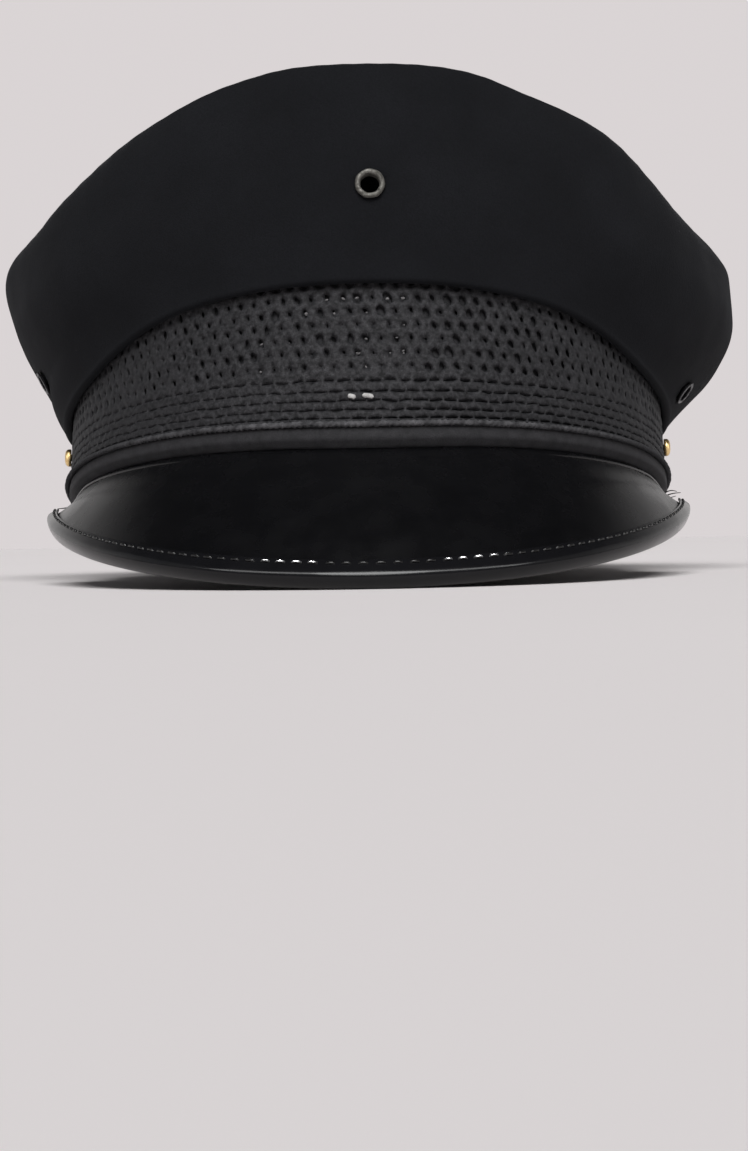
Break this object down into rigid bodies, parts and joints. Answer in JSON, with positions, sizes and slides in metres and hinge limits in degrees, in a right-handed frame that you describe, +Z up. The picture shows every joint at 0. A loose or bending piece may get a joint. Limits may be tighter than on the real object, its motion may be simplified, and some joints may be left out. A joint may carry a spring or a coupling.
{
  "type": "pilot cap",
  "caption": "Soft peaked pilot cap with an openwork band, a stitched peak, a badge eyelet and side vents, resting on its band and peak.",
  "frame": {"origin": "middle of the bounding box on the surface that the cap rests on", "axes": "+Z up from that surface, -Y toward the peak, +X to the right seen from the front"},
  "size_m": [0.2276, 0.2758, 0.132],
  "materials": {
    "crown_cloth": "fine black wool cloth, matte",
    "braid_mesh": "black openwork braid, slightly shiny thread",
    "border_cloth": "smooth black band, matte",
    "piping_cord": "fuzzy dark grey cord",
    "peak_leather": "smooth black, satin",
    "binding_leather": "polished black",
    "sweat_leather": "black sweatband leather, satin",
    "eyelet_metal": "worn nickel",
    "vent_metal": "black enamel, worn at the rim",
    "stud_brass": "polished brass"
  },
  "bodies": {
    "root": {"crown_side": "crown_cloth", "crown_top": "crown_cloth", "band_frame": "border_cloth", "band_braid": "braid_mesh", "border_piping": "piping_cord", "sweatband": "sweat_leather", "peak": "peak_leather", "peak_binding": "binding_leather", "front_eyelet": "eyelet_metal", "vent_eyelet_left": "vent_metal", "vent_eyelet_right": "vent_metal", "strap_stud_left": "stud_brass", "strap_stud_right": "stud_brass"}
  },
  "joints": []
}
